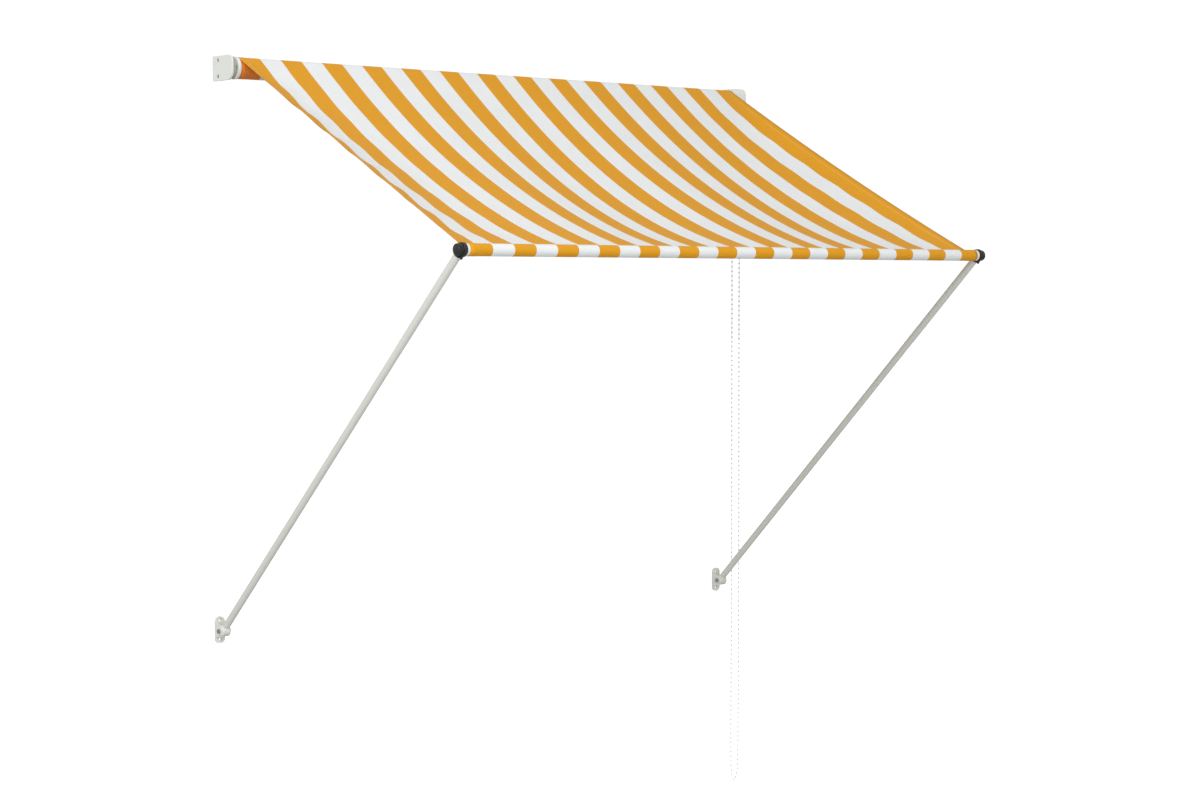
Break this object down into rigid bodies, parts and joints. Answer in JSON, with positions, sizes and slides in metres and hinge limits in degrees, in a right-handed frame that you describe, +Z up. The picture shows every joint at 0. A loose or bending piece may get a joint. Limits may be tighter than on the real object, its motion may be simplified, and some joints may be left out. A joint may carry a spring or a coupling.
{
  "type": "drop-arm roller awning",
  "caption": "Striped cloth awning on a wall-hung chain-driven roller, its front bar held out by two tube arms hinged on wall feet.",
  "frame": {"origin": "the middle of the left wall base's back face, where it meets the wall", "axes": "+X along the roller to the right seen from the front, +Y into the wall, +Z up"},
  "size_m": [1.5309, 0.9009, 1.7702],
  "materials": {
    "bracket_paint": "semi-gloss white powder coat",
    "arm_paint": "satin off-white powder coat",
    "white_plastic": "moulded white plastic",
    "black_plastic": "moulded black plastic",
    "zinc_steel": "zinc plated",
    "bare_aluminium": "extruded, as drawn",
    "awning_cloth": "woven polyester, yellow and white stripes along its length",
    "chain_plastic": "pale moulded beads on a cord"
  },
  "bodies": {
    "wall_frame": {"left_wall_base": "bracket_paint", "left_side_cheek": "bracket_paint", "left_side_screw_1": "zinc_steel", "left_side_screw_2": "zinc_steel", "bearing_pin": "zinc_steel", "right_wall_base": "bracket_paint", "right_side_cheek": "bracket_paint", "right_side_screw_1": "zinc_steel", "right_side_screw_2": "zinc_steel", "drive_housing": "white_plastic", "clutch_core": "white_plastic", "brake_spring": "zinc_steel", "bead_chain": "chain_plastic", "canopy": "awning_cloth", "left_foot": "bracket_paint", "left_pivot_bolt": "zinc_steel", "left_pivot_nut": "zinc_steel", "right_foot": "bracket_paint", "right_pivot_bolt": "zinc_steel", "right_pivot_nut": "zinc_steel"},
    "roller": {"roller_tube": "bare_aluminium", "roller_cloth": "awning_cloth", "idle_plug": "white_plastic", "drive_plug": "white_plastic", "chain_wheel": "white_plastic"},
    "left_arm": {"left_arm_tube": "arm_paint", "left_arm_knuckle": "arm_paint", "left_hub": "black_plastic", "left_hub_cap": "black_plastic"},
    "right_arm": {"right_arm_tube": "arm_paint", "right_arm_knuckle": "arm_paint", "right_hub": "black_plastic", "right_hub_cap": "black_plastic"},
    "front_bar": {"front_bar_tube": "bare_aluminium", "hem_sleeve": "awning_cloth", "left_bar_plug": "white_plastic", "right_bar_plug": "white_plastic", "left_journal_screw": "zinc_steel", "right_journal_screw": "zinc_steel"}
  },
  "joints": [
    {"name": "left_arm_swing", "type": "hinge", "parent": "wall_frame", "child": "left_arm", "pos_m": [-0.00615, -0.024, -1.228], "axis": [1, 0, 0], "range_deg": [-41.4, 21.6], "deforming": ["canopy"]},
    {"name": "right_arm_swing", "type": "hinge", "parent": "wall_frame", "child": "right_arm", "pos_m": [1.47985, -0.024, -1.228], "axis": [1, 0, 0], "range_deg": [-41.4, 21.6]},
    {"name": "front_bar_turn", "type": "hinge", "parent": "left_arm", "child": "front_bar", "pos_m": [-0.00615, -0.8864, -0.40222], "axis": [1, 0, 0], "range_deg": [-22, 42]},
    {"name": "roller_spin", "type": "hinge", "parent": "wall_frame", "child": "roller", "pos_m": [0, -0.062, -0.001], "axis": [1, 0, 0], "range_deg": [-2075, 1085]}
  ],
  "couplings": [
    {"joint": "right_arm_swing", "follows": "left_arm_swing", "ratio": 1},
    {"joint": "front_bar_turn", "follows": "left_arm_swing", "ratio": -1},
    {"joint": "roller_spin", "follows": "left_arm_swing", "ratio": 50}
  ]
}
